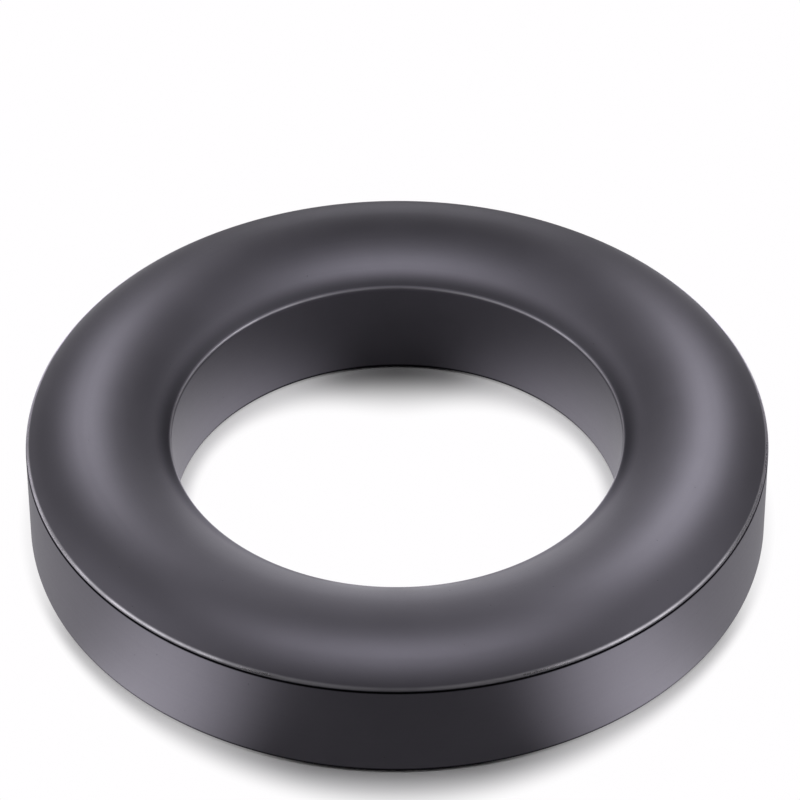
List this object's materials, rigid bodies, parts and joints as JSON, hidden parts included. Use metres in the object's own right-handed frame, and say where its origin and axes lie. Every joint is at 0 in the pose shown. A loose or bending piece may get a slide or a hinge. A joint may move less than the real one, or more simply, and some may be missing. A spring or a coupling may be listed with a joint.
{
  "type": "ferrite toroid core",
  "caption": "Pressed ferrite ring core with a crowned upper face, straight walls and a plain round bore that windings pass through.",
  "frame": {"origin": "centre of the flat underside, on the ring's axis", "axes": "+Z along the ring's axis, from the flat underside towards the crowned face"},
  "size_m": [0.065, 0.065, 0.012],
  "materials": {
    "ferrite": "smooth satin dark grey sintered ferrite"
  },
  "bodies": {
    "root": {"core": "ferrite"}
  },
  "joints": []
}
